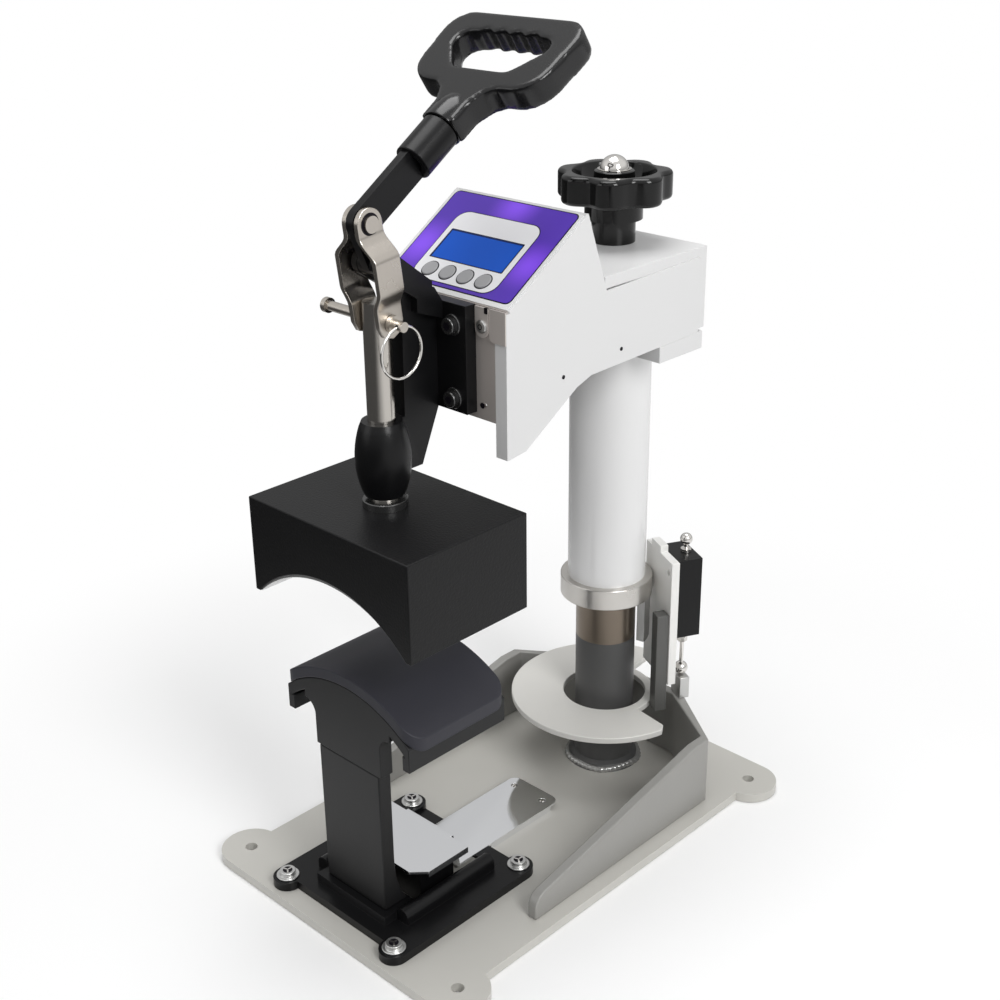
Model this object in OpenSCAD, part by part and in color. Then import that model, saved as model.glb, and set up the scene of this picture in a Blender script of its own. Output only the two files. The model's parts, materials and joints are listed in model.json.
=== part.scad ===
// Cap heat press: a swing-away arm on a round post, a toggle lever and a curved heating head.
// Millimetres. +Z is up, the operator stands on the -Y side, the post on the +Y side.
// The origin is the centre of the four mounting holes, on the underside of the base plate.

/* [Base] */
// Distance between the mounting holes across the width
hole_dx = 268; // [240:1:300]
// Radius of the rounded ears of the base plate
ear_r = 27; // [22:1:32]
// Thickness of the base plate
plate_t = 9; // [6:1:12]
// Radius of the mounting holes
hole_r = 5.5; // [4:0.5:7]
// Height of the bent wall above the floor
wall_top = 77; // [60:1:90]
// Thickness of the bent wall
wall_t = 9.5; // [6:0.5:12]
// Radius of the post
post_r = 28.5; // [26:0.5:30]

/* [Arm] */
// Height of the arm's deck above the floor
deck_z = 522; // [518:1:560]
// Height of the swing collar's underside
collar_z = 191.5; // [180:0.5:200]
// Radius of the swing collar
collar_r = 43.5; // [42:0.5:46]
// Radius of the white swing tube
tube_r = 36.6; // [34:0.1:38]
// Half width of the arm's housing
arm_hw = 72; // [62:1:80]
// Thickness of the housing's sheet
sheet_t = 2; // [1.5:0.1:3]
// Radius of the height knob
knob_r = 50; // [44:1:56]
// Running clearance of shafts in their bores
run_gap = 0.05; // [0.02:0.01:0.1]
// Gap between bodies that pass each other
pass_gap = 0.4; // [0.3:0.1:0.8]

/* [Head] */
// Distance of the plunger's axis in front of the post
head_y = 273; // [268:1:278]
// Width of the heat box
box_w = 186; // [170:1:200]
// Depth of the heat box
box_d = 127; // [115:1:135]
// Height of the heat box
box_h = 83; // [75:1:90]
// Radius of the plunger
plunger_r = 11; // [9:0.5:12]
// Radius of the pressing curve on the pad
press_r = 128; // [120:1:136]
// Height of the pad's crown
pad_top = 237; // [234:0.5:238]
// Thickness of the rubber pad
pad_t = 9.5; // [7:0.5:11]
// Travel of the head
travel = 66.5; // [60:0.5:68]

/* [Hidden] */
$fn = 64;
cut = 1;
steel = "#9a9a98";
black = "#1c1c1e";
silver = "#c8c8c8";

// The base follows the reach of the head
base_front = 124;
post_inset = 60;
hole_dy = head_y + base_front;
post_y = hole_dy/2 - post_inset;
// Base plate: a waist between two pairs of round ears
waist_hw = hole_dx/2 + 5*plate_t/9;
waist_r = 80;
fillet_dx = waist_hw + waist_r - hole_dx/2;
fillet_dy = sqrt(pow(waist_r + ear_r, 2) - pow(fillet_dx, 2));
// Bent wall
wall_hw = 125;
wall_behind = 54;
wall_back = post_y + wall_behind;
wall_corner = 71;
wall_gap = 38;
wall_front = post_y - head_y + wall_gap;
wall_nose = 29;
// Stop disc
disc_t = 6;
disc_r = 91;
disc_hole_r = 40;
notch_r = 48.6;
hook_angle = -9;
notch_angle = 96;
// Post
bead_r = 37;
bead_h = 8;
bearing_h = 44.5;
bearing_z = collar_z - bearing_h;
collar_t = 20;
// The arm can come down by this much
height_down = 17;
tube_top = deck_z + sheet_t - height_down;
spindle_r = 19;
spindle_top = 300;
screw_r = 8;
// Lock, in its own frame: n points outward and t along the plate
lock_angle = 62.7;
lock_out = collar_r;
lock_plate_t = 8;
lock_w = 58;
lock_edge = 6;
lock_hole_r = 3;
lock_h = 129;
lock_over = 23.5;
lock_high = collar_z + collar_t + lock_over;
lock_low = lock_high - lock_h;
box_out = 27;
box_t = 41;
lock_box_h = 81;
lock_box_z = lock_high - lock_box_h - sheet_t*1.5;
rod_r = 2;
rod_out = 70;
rod_t = 25;
ball_r = 6.7;
ball_up = 29.5;
lock_lift = 9;
lock_nut_h = 5;
lock_ball_up = 10;
ball_z = wall_top + ball_up;
detent_d = 10;
detent_w = 20;
detent_z = ball_z - ball_r - pass_gap;
bar_w = 12;
bar_from = 38;
bar_gap = 10.5;
bar_low = wall_top + pass_gap*3;
seat_gap = 0.3;
bar_high = collar_z - bar_gap;
// Housing, with its depths measured from the post's axis
arm_back = 30;
nose_gap = 66;
nose_len = 90.5;
notch_d = 23.5;
arm_drop = 114;
arm_rise = 63;
nose_rise = 5;
back_h = 66;
arm_nose = nose_gap - head_y;
arm_low = deck_z - arm_drop;
arm_high = deck_z + arm_rise;
nose_top = deck_z + nose_rise;
peak_y = arm_nose + nose_len;
deck_front = peak_y + notch_d;
low_back = deck_z - back_h;
low_drop = 3;
low_y = peak_y + notch_d/4;
bend_y = peak_y - notch_d/2;
slope_y = arm_nose + sheet_t;
screw_hole_r = 2.5;
cover_back = 41;
cover_in = tube_r - 4;
switch_x = -30;
switch_z = deck_z - post_r*1.5;
rocker_w = 21;
rocker_r = 8;
slope_a = atan((arm_high - nose_top)/(peak_y - slope_y));
slope_len = sqrt(pow(arm_high - nose_top, 2) + pow(peak_y - slope_y, 2));
lcd_w = 78;
lcd_h = 30.5;
lcd_up = 46.5;
button_rx = 8;
button_up = 19.5;
button_pitch = 19.6;
// Casting
cast_r = 22.3;
cast_drop = 141;
cast_h = 61;
neck_share = 0.72;
web_edge = 17;
web_lip = 16;
web_rise = 23;
gusset_in = 35;
gusset_low = 13;
cast_low = deck_z - cast_drop;
cast_high = cast_low + cast_h;
web_t = 16;
plate_x = 80;
plate_h = 87;
plate_up = 6;
plate_gap = 5;
plate_back = arm_nose - plate_gap;
plate_thick = 8;
plate_high = deck_z + plate_up;
plate_low = plate_high - plate_h;
bolt_x = 26;
bolt_r = 6.5;
bolt_low = 11;
bolt_up = 17;
bolt_z1 = plate_low + bolt_low;
bolt_z2 = plate_high - bolt_up;
// Toggle: A is fixed on the casting, B joins lever and links, C is the pin on the plunger
pivot_back = 1;
pivot_up = 43;
crank_front = 10;
crank_up = 32;
a_y = pivot_back - head_y;
a_z = deck_z + pivot_up;
b_y = -head_y - crank_front;
b_z = a_z + crank_up;
c_z = deck_z;
pin_r = 4;
cheek_in = 9.4;
cheek_out = 15.4;
cheek_r = 10.3;
lever_t = 7.5;
lever_w = 25;
lean = 56;
link_t = 4.5;
link_w = 24;
link_in = 4.1;
link_bulge = 18.1;
link_low = 11.75;
link_bend = 7.5;
link_bend_low = 12;
sleeve_r = 15;
sleeve_from = 62;
sleeve_to = 98;
// Grip
grip_t = 22;
grip_hw = 70;
grip_h = 116;
// Heat head
sheet_box = 2;
arch_rise = 37;
platen_t = 10;
flange_h = 6;
// Room for the heater between the platen's crown and the box's lid
head_room = 39.1;
// The closed platen stops this far above the pad when the arm is at its lowest
shut_gap = 1;
flange_r = 17.8;
pad_len = 108;
pad_chord = 80;
pad_corner = 15;
saddle_t = 10;
plate_z = collar_z + collar_t;

module at_post() translate([0, post_y, 0]) children();
// Turns a profile drawn in (y, z) and gives it a thickness along X
module slab(t) rotate([90, 0, 90]) translate([0, 0, -t/2]) linear_extrude(t) children();
// Turns a profile drawn in (x, z) and extrudes it along +Y
module deep(l) rotate([90, 0, 0]) translate([0, 0, -l]) linear_extrude(l) children();
module rod_x(r, x0, x1) translate([x0, 0, 0]) rotate([0, 90, 0]) cylinder(r = r, h = x1 - x0);
module soft_rect(w, d, r) translate([-w/2 + r, -d/2 + r])
    hull() for (x = [0, w - r - r], y = [0, d - r - r]) translate([x, y]) circle(r, $fn = 32);
module ring(r1, r2, h) difference() {
    cylinder(r = r1, h = h);
    translate([0, 0, -cut]) cylinder(r = r2, h = h + cut + cut);
}
module corners(x, y) for (sx = [-1, 1], sy = [-1, 1]) translate([sx*x, sy*y]) children();

module base_outline() difference() {
    union() {
        corners(hole_dx/2, hole_dy/2) circle(ear_r);
        square([waist_hw + waist_hw, hole_dy], center = true);
        square([hole_dx, hole_dy + ear_r + ear_r], center = true);
        corners(waist_hw/2, (hole_dy - fillet_dy)/2) square([fillet_dx + ear_r, fillet_dy], center = true);
    }
    corners(waist_hw + waist_r, hole_dy/2 - fillet_dy) circle(waist_r);
    corners(waist_hw + waist_r, hole_dy/4) square([waist_r + waist_r, hole_dy/2 - fillet_dy*2], center = true);
}

module base_plate() color("#a39c92") difference() {
    linear_extrude(plate_t) base_outline();
    corners(hole_dx/2, hole_dy/2) translate([0, 0, -cut]) cylinder(r = hole_r, h = plate_t + cut + cut);
}

module wall_plan(inset) polygon([[-wall_hw + inset, wall_front + inset], [-wall_hw + inset,
    wall_back - wall_corner/1.4], [-wall_corner + wall_corner*0.24 + inset*0.4, wall_back - inset],
    [wall_corner*0.76 - inset*0.4, wall_back - inset], [wall_hw - inset, wall_back - wall_corner/1.4],
    [wall_hw - inset, wall_front + inset]]);

module gusset_wall() color("#a39c92") intersection() {
    translate([0, 0, plate_t]) linear_extrude(wall_top - plate_t) difference() {
        wall_plan(0);
        wall_plan(wall_t);
        translate([0, wall_front]) square([wall_hw*2 - wall_t*2, wall_t*3], center = true);
    }
    slab(wall_hw*3) hull() {
        translate([wall_front, plate_t]) square([wall_t, cut/2]);
        translate([wall_front + wall_nose/2, wall_nose/2 + plate_t/2]) circle(wall_nose/2, $fn = 32);
        translate([wall_back - wall_corner, 0]) square([wall_corner, wall_top]);
    }
}

module post() color(steel) at_post() {
    rotate_extrude() polygon([[0, plate_t], [bead_r, plate_t], [post_r + bead_h/2, plate_t + bead_h*0.7],
        [post_r, plate_t + bead_h], [post_r, bearing_z], [spindle_r, bearing_z],
        [spindle_r, spindle_top], [0, spindle_top]]);
}

module bearing_sleeve() color("#8a7a5c") at_post() translate([0, 0, bearing_z])
    ring(post_r, spindle_r, collar_z - bearing_z - pass_gap);

module stop_disc() color("#8d8a84") at_post() translate([0, 0, wall_top]) difference() {
    cylinder(r = disc_r, h = disc_t);
    translate([0, 0, -cut]) cylinder(r = disc_hole_r, h = disc_t + cut + cut);
    translate([0, 0, -cut]) linear_extrude(disc_t + cut + cut) difference() {
        polygon([[0, 0], (disc_r - disc_t)*[cos(hook_angle), sin(hook_angle)],
            disc_r*1.1*[cos(hook_angle*2), sin(hook_angle*2)],
            for (a = [hook_angle + 5:5:notch_angle]) disc_r*1.1*[cos(a), sin(a)]]);
        circle(notch_r);
    }
}

// Places children in the lock's frame: X along the plate, Y outward from the collar
module at_lock() at_post() rotate([0, 0, lock_angle - 90]) translate([0, lock_out, 0]) children();

module detent_block() color(silver) at_lock() difference() {
    translate([rod_t - detent_w/2, rod_out - lock_out - detent_d/2, wall_top])
        cube([detent_w, detent_d, detent_z - wall_top]);
    translate([rod_t, rod_out - lock_out, ball_z]) sphere(ball_r + pass_gap);
}

// The pad's supports stand in front of the head's axis
stand_front = 53;
stand_y = -head_y - stand_front;
rail_h = 8;
foot_x = 69;
foot_front = 20;
foot_y1 = stand_y - foot_front;
foot_span = 149;
foot_y2 = foot_y1 + foot_span;
foot_r = 13;
hump_x = 51;
hump_r = 7;
hump_z = 30;
block_hw = 44;
step_hw = 56;
module pad_bracket() color(black) at_post() {
    for (s = [-1, 1]) {
        translate([s*foot_x, 0, plate_t]) linear_extrude(rail_h) difference() {
            hull() for (y = [foot_y1, foot_y2]) translate([0, y]) circle(foot_r, $fn = 32);
            for (y = [foot_y1, foot_y2]) translate([0, y]) circle(pin_r);
        }
        translate([s*hump_x - hump_r, foot_y1 + foot_r*2, plate_t]) {
            cube([hump_r*2, foot_r*8, hump_z - plate_t - hump_r]);
            translate([hump_r, 0, hump_z - plate_t - hump_r]) rotate([-90, 0, 0])
                cylinder(r = hump_r, h = foot_r*8);
        }
    }
    // Stepped block under the upright, and the cross bar at the back
    translate([-step_hw, foot_y1, plate_t]) cube([step_hw*2, foot_r*3.5, rail_h]);
    translate([-block_hw, foot_y1 + foot_r, plate_t]) cube([block_hw*2, foot_r*2.6, rail_h*2]);
    translate([-foot_x + foot_r, foot_y2 - foot_r, plate_t]) cube([foot_x*2 - foot_r*2, foot_r*1.4, rail_h/2]);
    // Pedestal of the shelf
    translate([-block_hw + foot_r/2, shelf_y0 + foot_r, plate_t])
        cube([block_hw*2 - foot_r, shelf_y1 - shelf_y0 - foot_r*1.5, shelf_z - shelf_t - plate_t]);
}

module bracket_screws() color(silver) at_post() {
    washer_r = 10;
    washer_t = 1.6;
    head_h = 4;
    for (x = [-foot_x, foot_x], y = [foot_y1, foot_y2]) translate([x, y, plate_t + rail_h]) {
        cylinder(r = washer_r, h = washer_t);
        translate([0, 0, washer_t]) cylinder(r = washer_r*0.7, h = head_h);
        translate([0, 0, -rail_h]) cylinder(r = pin_r - pass_gap/2, h = rail_h);
    }
}

// One bent sheet: a shelf over the bracket, a riser and a tongue that runs back to the post
shelf_t = 2.5;
shelf_z = 50;
shelf_hw = 50;
shelf_back = 27;
shelf_d = 59;
shelf_y0 = stand_y + shelf_back;
shelf_y1 = shelf_y0 + shelf_d;
shelf_lip = 6;
tongue_z = plate_t + rail_h/2 + shelf_t;
tongue_hw = 29;
tongue_len = 142;
tongue_y = shelf_y1 + tongue_len;
corner_cut = 12;
module shelf_bracket() color(silver) at_post() difference() {
    union() {
        slab(tongue_hw*2) polygon([[shelf_y1 - cut, shelf_z - shelf_t], [shelf_y1 - cut, shelf_z],
            [shelf_y1 + shelf_t, shelf_z], [shelf_y1 + shelf_t*4, tongue_z], [tongue_y - tongue_hw, tongue_z],
            [tongue_y - tongue_hw, tongue_z - shelf_t], [shelf_y1 + shelf_t*3, tongue_z - shelf_t],
            [shelf_y1, shelf_z - shelf_t]]);
        translate([0, 0, shelf_z - shelf_t]) linear_extrude(shelf_t) polygon([[-shelf_hw, shelf_y1],
            [-shelf_hw, shelf_y0 + corner_cut], [corner_cut - shelf_hw, shelf_y0],
            [shelf_hw - corner_cut, shelf_y0], [shelf_hw, shelf_y0 + corner_cut], [shelf_hw, shelf_y1]]);
        for (s = [-1, 1])
            translate([s*(shelf_hw - shelf_t/2) - shelf_t/2, shelf_y0 + corner_cut, shelf_z - shelf_lip])
                cube([shelf_t, shelf_y1 - shelf_y0 - corner_cut, shelf_lip]);
        translate([0, tongue_y - tongue_hw - cut, tongue_z - shelf_t]) linear_extrude(shelf_t)
            soft_rect(tongue_hw*2, tongue_hw*2 + cut*2, corner_cut*0.7);
        for (s = [-1, 1]) translate([s*(tongue_hw - shelf_t/2) - shelf_t/2, foot_y2 + foot_r/2, plate_t])
            cube([shelf_t, tongue_y - foot_y2 - foot_r/2 - corner_cut, tongue_z - plate_t]);
    }
    for (s = [-1, 1]) translate([s*tongue_hw*0.62, tongue_y - corner_cut, 0])
        cylinder(r = pin_r*0.8, h = shelf_z);
}

// Upright that carries the saddle, with its back flared at the foot
stand_hw = 37;
stand_t = 13;
stand_low = plate_t + rail_h*2;
stand_top = 158;
stand_flare = 12;
trunk_hw = 40;
trunk_r = 12;
module stand() color(black) at_post() translate([0, stand_y, 0]) slab(stand_hw*2) polygon([[0, stand_low],
    [0, stand_top], [stand_t, stand_top], for (i = [0:8]) [stand_t + stand_flare*pow(i/8, 3),
    stand_top/2 - (stand_top/2 - stand_low)*i/8]]);

pad_y0 = stand_y;
saddle_r = press_r - pad_t;
arc_z = pad_top - press_r;
// The box stands on the platen, so a higher deck gets a longer plunger
platen_r = press_r + pass_gap;
platen_z = arc_z + travel + height_down + shut_gap;
box_top = platen_z + platen_r + platen_t + head_room;
module arc_band(r_out, r_in, half) intersection() {
    difference() {
        circle(r_out, $fn = 180);
        circle(r_in, $fn = 180);
    }
    translate([-half, 0]) square([half + half, r_out + cut]);
}
saddle_hw = 74.5;
hook_t = 8;
hook_drop = 9;
hook_z = sqrt(pow(saddle_r - saddle_t, 2) - pow(saddle_hw, 2));
trunk_top = stand_top - arc_z + trunk_r*2.3;
module cap_saddle() color(black) at_post() translate([0, pad_y0, arc_z]) {
    deep(pad_len) arc_band(saddle_r - seat_gap, saddle_r - saddle_t, saddle_hw);
    // Lips turned down along both sides
    for (s = [-1, 1]) translate([s*(saddle_hw - hook_t/2), 0, hook_z - hook_drop])
        deep(pad_len) translate([-hook_t/2, 0]) square([hook_t, hook_drop*1.5]);
    deep(stand_t) intersection() {
        circle(saddle_r - saddle_t/2, $fn = 180);
        difference() {
            translate([-trunk_hw - trunk_r, stand_top - arc_z]) square([trunk_hw*2 + trunk_r*2, press_r]);
            for (s = [-1, 1]) hull() for (z = [0, -press_r])
                translate([s*(trunk_hw + trunk_r), trunk_top + z]) circle(trunk_r, $fn = 32);
        }
    }
    // Rib from the trunk to the back edge
    slab(stand_t) polygon([[0, stand_top - arc_z], [stand_t, stand_top - arc_z],
        [pad_len, saddle_r - saddle_t - hook_t], [pad_len, saddle_r - saddle_t/2], [0, saddle_r - saddle_t/2]]);
}
module cap_pad() color("#2c2c31") at_post() intersection() {
    translate([0, pad_y0, arc_z]) deep(pad_len) arc_band(press_r, saddle_r, pad_chord);
    translate([0, pad_y0 + pad_len/2, 0]) linear_extrude(pad_top + cut)
        soft_rect(pad_chord*2, pad_len, pad_corner);
}

// Swing body
module swing_collar() color(silver) at_post() translate([0, 0, collar_z]) {
    ring(collar_r, spindle_r + run_gap, collar_t);
}
module swing_tube() color("#e8e8e4") at_post() translate([0, 0, plate_z]) difference() {
    cylinder(r = tube_r, h = tube_top - plate_z);
    translate([0, 0, -cut]) cylinder(r = spindle_r + run_gap, h = spindle_top - plate_z + cut*3);
}
screw_up = 40;
screw_top = deck_z + screw_up;
module height_screw() color(silver) at_post() translate([0, 0, tube_top])
    cylinder(r = screw_r, h = screw_top - tube_top);

module lock_bracket() color(silver) at_lock() difference() {
    union() {
        translate([-lock_edge, 0, lock_low]) cube([lock_w, lock_plate_t, lock_high - lock_low]);
        translate([lock_w*0.1, 0, lock_high]) cube([detent_w, lock_plate_t, ball_r]);
    }
    translate([bar_from + bar_w/2, -cut, lock_high - bar_w]) rotate([-90, 0, 0])
        cylinder(r = lock_hole_r, h = bar_w);
}
module stop_bar() color("#8d8a84") at_lock() translate([bar_from, -bar_w, bar_low])
    cube([bar_w, bar_w, bar_high - bar_low]);
tongue_r = 34;
tongue_t = 8;
tongue_from = 10;
tongue_span = 40;
module guide_tongue() color(silver) at_post() translate([0, 0, bearing_z])
    rotate([0, 0, tongue_from]) rotate_extrude(angle = tongue_span) translate([tongue_r, 0])
        square([tongue_t, collar_z - bearing_z]);
module lock_housing() color(black) at_lock() difference() {
    translate([lock_edge/2, lock_plate_t, lock_box_z]) cube([box_t, box_out, lock_box_h]);
    translate([rod_t, rod_out - lock_out, 0]) cylinder(r = rod_r + run_gap, h = lock_high + lock_high);
}
module lock_plunger() color(silver) at_lock() translate([rod_t, rod_out - lock_out, 0]) {
    top_ball = lock_high + lock_ball_up;
    small_ball = 5.9;
    collar_r1 = 5;
    translate([0, 0, ball_z]) cylinder(r = rod_r, h = top_ball - ball_z);
    translate([0, 0, ball_z]) sphere(ball_r);
    translate([0, 0, top_ball]) sphere(small_ball);
    translate([0, 0, lock_box_z + lock_box_h + pass_gap]) cylinder(r = collar_r1, h = small_ball/2);
    // Nut below the housing, clear of it when the pin is lifted
    translate([0, 0, lock_box_z - lock_lift - lock_nut_h - pass_gap])
        cylinder(r = collar_r1, h = lock_nut_h, $fn = 6);
}

// Arm: outline of the sheet sides in (y, z), front foot first
module arm_outline() polygon([[slope_y, nose_top], [arm_nose, arm_low], [arm_nose + bar_w*1.6, arm_low + sheet_t],
    [bend_y, low_back - low_drop*3], [low_y, low_back - low_drop], [arm_back, low_back], [arm_back, deck_z],
    [deck_front, deck_z - low_drop], [peak_y, arm_high]]);
module side_panel(s) color("#d9d9d6") at_post() {
    translate([s*(arm_hw - sheet_t/2), 0, 0]) slab(sheet_t) arm_outline();
    // Folded front and lower edges
    translate([s*(arm_hw - sheet_t/2), 0, 0]) slab(sheet_t) translate([arm_nose - sheet_t, arm_low])
        square([sheet_t*2, nose_top - arm_low - sheet_t]);
    translate([s*(arm_hw - bar_w/2), 0, 0]) slab(bar_w) polygon([[arm_nose - sheet_t, arm_low],
        [arm_nose, arm_low], [arm_nose, nose_top - sheet_t], [arm_nose - sheet_t, nose_top - sheet_t]]);
    translate([s*(arm_hw - bar_w/2), 0, 0]) slab(bar_w) polygon([[bend_y, low_back - low_drop*3],
        [low_y, low_back - low_drop], [arm_back, low_back], [arm_back, low_back + sheet_t],
        [low_y, low_back - low_drop + sheet_t], [bend_y, low_back - low_drop*3 + sheet_t]]);
}
module side_panel_left() side_panel(-1);
module side_panel_right() side_panel(1);
inner_hw = arm_hw - sheet_t;
nut_r = 25.2;
module rear_cover() color("#e4e4e0") at_post() difference() {
    union() {
        translate([-inner_hw, cover_in, low_back + sheet_t])
            cube([inner_hw*2, cover_back - cover_in, deck_z - low_back - sheet_t]);
        translate([-inner_hw, deck_front, deck_z - sheet_t])
            cube([inner_hw*2, cover_back - deck_front, sheet_t*5]);
        slab(inner_hw*2) polygon([[deck_front - sheet_t, deck_z - low_drop], [deck_front, deck_z - low_drop],
            [peak_y, arm_high], [peak_y - sheet_t*0.6, arm_high - sheet_t]]);
    }
    translate([switch_x, cover_back - rocker_r*0.7, switch_z - rocker_r - pass_gap])
        cube([rocker_w + pass_gap*2, rocker_r, rocker_r*2 + pass_gap*2]);
    translate([0, 0, low_back]) cylinder(r = tube_r + run_gap, h = deck_z - low_back + sheet_t + pass_gap);
    cylinder(r = screw_r + pass_gap, h = arm_high);
}
module front_plate() color("#8b8379") at_post() difference() {
    union() {
        translate([-inner_hw, arm_nose, arm_low]) cube([inner_hw*2, sheet_t, nose_top - arm_low]);
        translate([bar_w - arm_hw, arm_nose - sheet_t, arm_low])
            cube([arm_hw*2 - bar_w*2, sheet_t, nose_top - arm_low - sheet_t]);
    }
    translate([arm_hw - bar_w*2, arm_nose - sheet_t - cut, arm_low + bar_w]) rotate([-90, 0, 0])
        cylinder(r = screw_hole_r, h = sheet_t*4);
}
// Places children on the sloping panel: X across, Y up the slope, Z out of it
module at_slope() at_post() translate([0, arm_nose + sheet_t, nose_top]) rotate([slope_a, 0, 0]) children();
module control_panel() color("#5a3a86") at_slope() difference() {
    translate([-inner_hw, 0, -sheet_t]) cube([inner_hw*2, slope_len - sheet_t*1.6, sheet_t + cut]);
    translate([-lcd_w/2, lcd_up - lcd_h/2, 0]) cube([lcd_w, lcd_h, sheet_t]);
    for (i = [0:3]) translate([button_pitch*(i - 1.5), button_up, -sheet_t*2])
        cylinder(r = button_rx + 0.7*pass_gap, h = sheet_t*4);
}
module display_window() color("#2050c0") at_slope()
    translate([-lcd_w/2, lcd_up - lcd_h/2, 0]) cube([lcd_w, lcd_h, cut]);
module button(i) color("#bdbdbd") at_slope() translate([button_pitch*(i - 2.5), button_up, -sheet_t]) {
    cylinder(r = button_rx, h = sheet_t*2 + cut);
}
module button_1() button(1);
module button_2() button(2);
module button_3() button(3);
module button_4() button(4);

clamp_d = 59;
clamp_h = 16;
clamp_z = low_back - clamp_h;
clamp_y = -22;
module clamp_block() color("#e4e4e0") at_post() difference() {
    slab(arm_hw*2) polygon([[clamp_y, clamp_z],
        [clamp_y, low_back - low_drop*(arm_back - clamp_y)/(arm_back - low_y)],
        [arm_back, low_back], [clamp_y + clamp_d, low_back], [clamp_y + clamp_d, clamp_z]]);
    translate([0, 0, clamp_z - cut]) cylinder(r = tube_r + run_gap, h = low_back);
}
module mount_plate() color("#2a2a2c") at_post() difference() {
    translate([-plate_x/2, plate_back - plate_thick, plate_low])
        cube([plate_x, arm_nose - sheet_t - plate_back + plate_thick, plate_high - plate_low]);
    for (x = [-bolt_x, bolt_x], z = [bolt_z1, bolt_z2]) translate([x, plate_back - plate_thick*2, z])
        rotate([-90, 0, 0]) cylinder(r = pin_r, h = plate_thick*3);
}
// Places children at the toggle's fixed pivot, with X along the pivot
module at_a() at_post() translate([0, a_y, a_z]) children();
module casting() color(black) at_post() difference() {
    union() {
        translate([0, -head_y, cast_low]) rotate_extrude() polygon([[0, 0], for (i = [0:12])
            [cast_r*(neck_share + (1 - neck_share)*pow(sin(180*i/12), 0.8)), cast_h*i/12], [0, cast_h]]);
        slab(web_t) polygon([[-head_y, cast_low + web_lip], [web_edge*2 - head_y, cast_low + web_lip],
            [plate_back - plate_thick, plate_low], [plate_back - plate_thick, plate_high],
            [plate_back - web_lip, deck_z + web_rise*0.8], [gusset_in - head_y, deck_z + web_rise],
            [web_edge + pivot_back - head_y, deck_z + web_rise], [web_edge - head_y, cast_high],
            [-head_y, cast_high]]);
        for (s = [-1, 1]) translate([s*(cheek_in + cheek_out)/2, 0, 0]) slab(cheek_out - cheek_in) hull() {
            translate([a_y, a_z]) circle(cheek_r, $fn = 32);
            translate([gusset_in - web_t/2 - head_y, deck_z + gusset_low]) square([web_t, cheek_r]);
        }
        for (s = [-1, 1]) translate([s*(cheek_out - (cheek_out - web_t/2)/2), 0, 0])
            slab(cheek_out - web_t/2) polygon([[gusset_in - web_t/2 - head_y, deck_z + sheet_t],
                [plate_back - plate_thick, deck_z - plate_thick], [plate_back - plate_thick, plate_high],
                [plate_back - web_lip, deck_z + web_rise*0.8],
                [gusset_in - web_t/2 - head_y, deck_z + web_rise]]);
    }
    translate([0, -head_y, cast_low - cut]) cylinder(r = plunger_r + run_gap, h = a_z - cast_low);
    translate([0, a_y, a_z]) rod_x(pin_r + run_gap, -cheek_out - cut, cheek_out + cut);
    translate([0, a_y, a_z]) rod_x(cheek_r*2, -cheek_in, cheek_in);
}
module mount_bolts() color("#3a3a3c") at_post() for (x = [-bolt_x, bolt_x], z = [bolt_z1, bolt_z2])
    translate([x, plate_back - plate_thick, z]) rotate([90, 0, 0]) {
        cylinder(r = bolt_r, h = bolt_r);
        translate([0, 0, -plate_thick]) cylinder(r = pin_r, h = plate_thick);
    }
module lever_pin() color(silver) at_a() rod_x(pin_r, -cheek_out - cut*0.5, cheek_out + cut*0.5);
module power_switch() color(black) at_post() translate([switch_x + pass_gap, cover_back - rocker_r/2, switch_z])
    intersection() {
        rod_x(rocker_r, 0, rocker_w);
        slab(rocker_w*3) polygon([[0, -rocker_r], [rocker_r*0.85, -rocker_r], [rocker_r*0.6, 0],
            [rocker_r*0.85, rocker_r], [0, rocker_r]]);
    }
inlet_x = 8;
inlet_w = 30;
inlet_h = 24;
module power_inlet() color(black) at_post() translate([inlet_x, cover_back, switch_z - inlet_h/2]) difference() {
    cube([inlet_w, sheet_t*3, inlet_h]);
    translate([sheet_t*2, sheet_t, sheet_t*2]) cube([inlet_w - sheet_t*4, sheet_t*3, inlet_h - sheet_t*4]);
}

// Height knob with its stem, and the locked nut on top
stem_low = deck_z + sheet_t*4 + seat_gap;
stem_h = 20;
hub_h = 16;
knob_h = 25;
stem_step = stem_low + stem_h;
knob_low = stem_step + hub_h;
knob_top = knob_low + knob_h;
lobes = 7;
lobe_share = 0.055;
valley_turn = 30;
module adjust_knob() color(black) at_post() difference() {
    union() {
        translate([0, 0, stem_low]) cylinder(r = nut_r*0.76, h = knob_low - stem_low);
        translate([0, 0, stem_step]) cylinder(r = nut_r, h = knob_low - stem_step);
        translate([0, 0, knob_low]) linear_extrude(knob_top - knob_low) polygon([for (a = [0:4:356])
            (knob_r - knob_r*lobe_share*pow(1 - cos(a*lobes + valley_turn), 1.4))*[cos(a), sin(a)]]);
    }
    cylinder(r = screw_r + run_gap, h = screw_top + height_down + cut);
}
module knob_nut() color(silver) at_post() translate([0, 0, knob_top]) {
    cylinder(r = nut_r*0.58, h = sheet_t/2);
    intersection() {
        sphere(nut_r/2);
        cylinder(r = nut_r, h = nut_r);
    }
}

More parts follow.
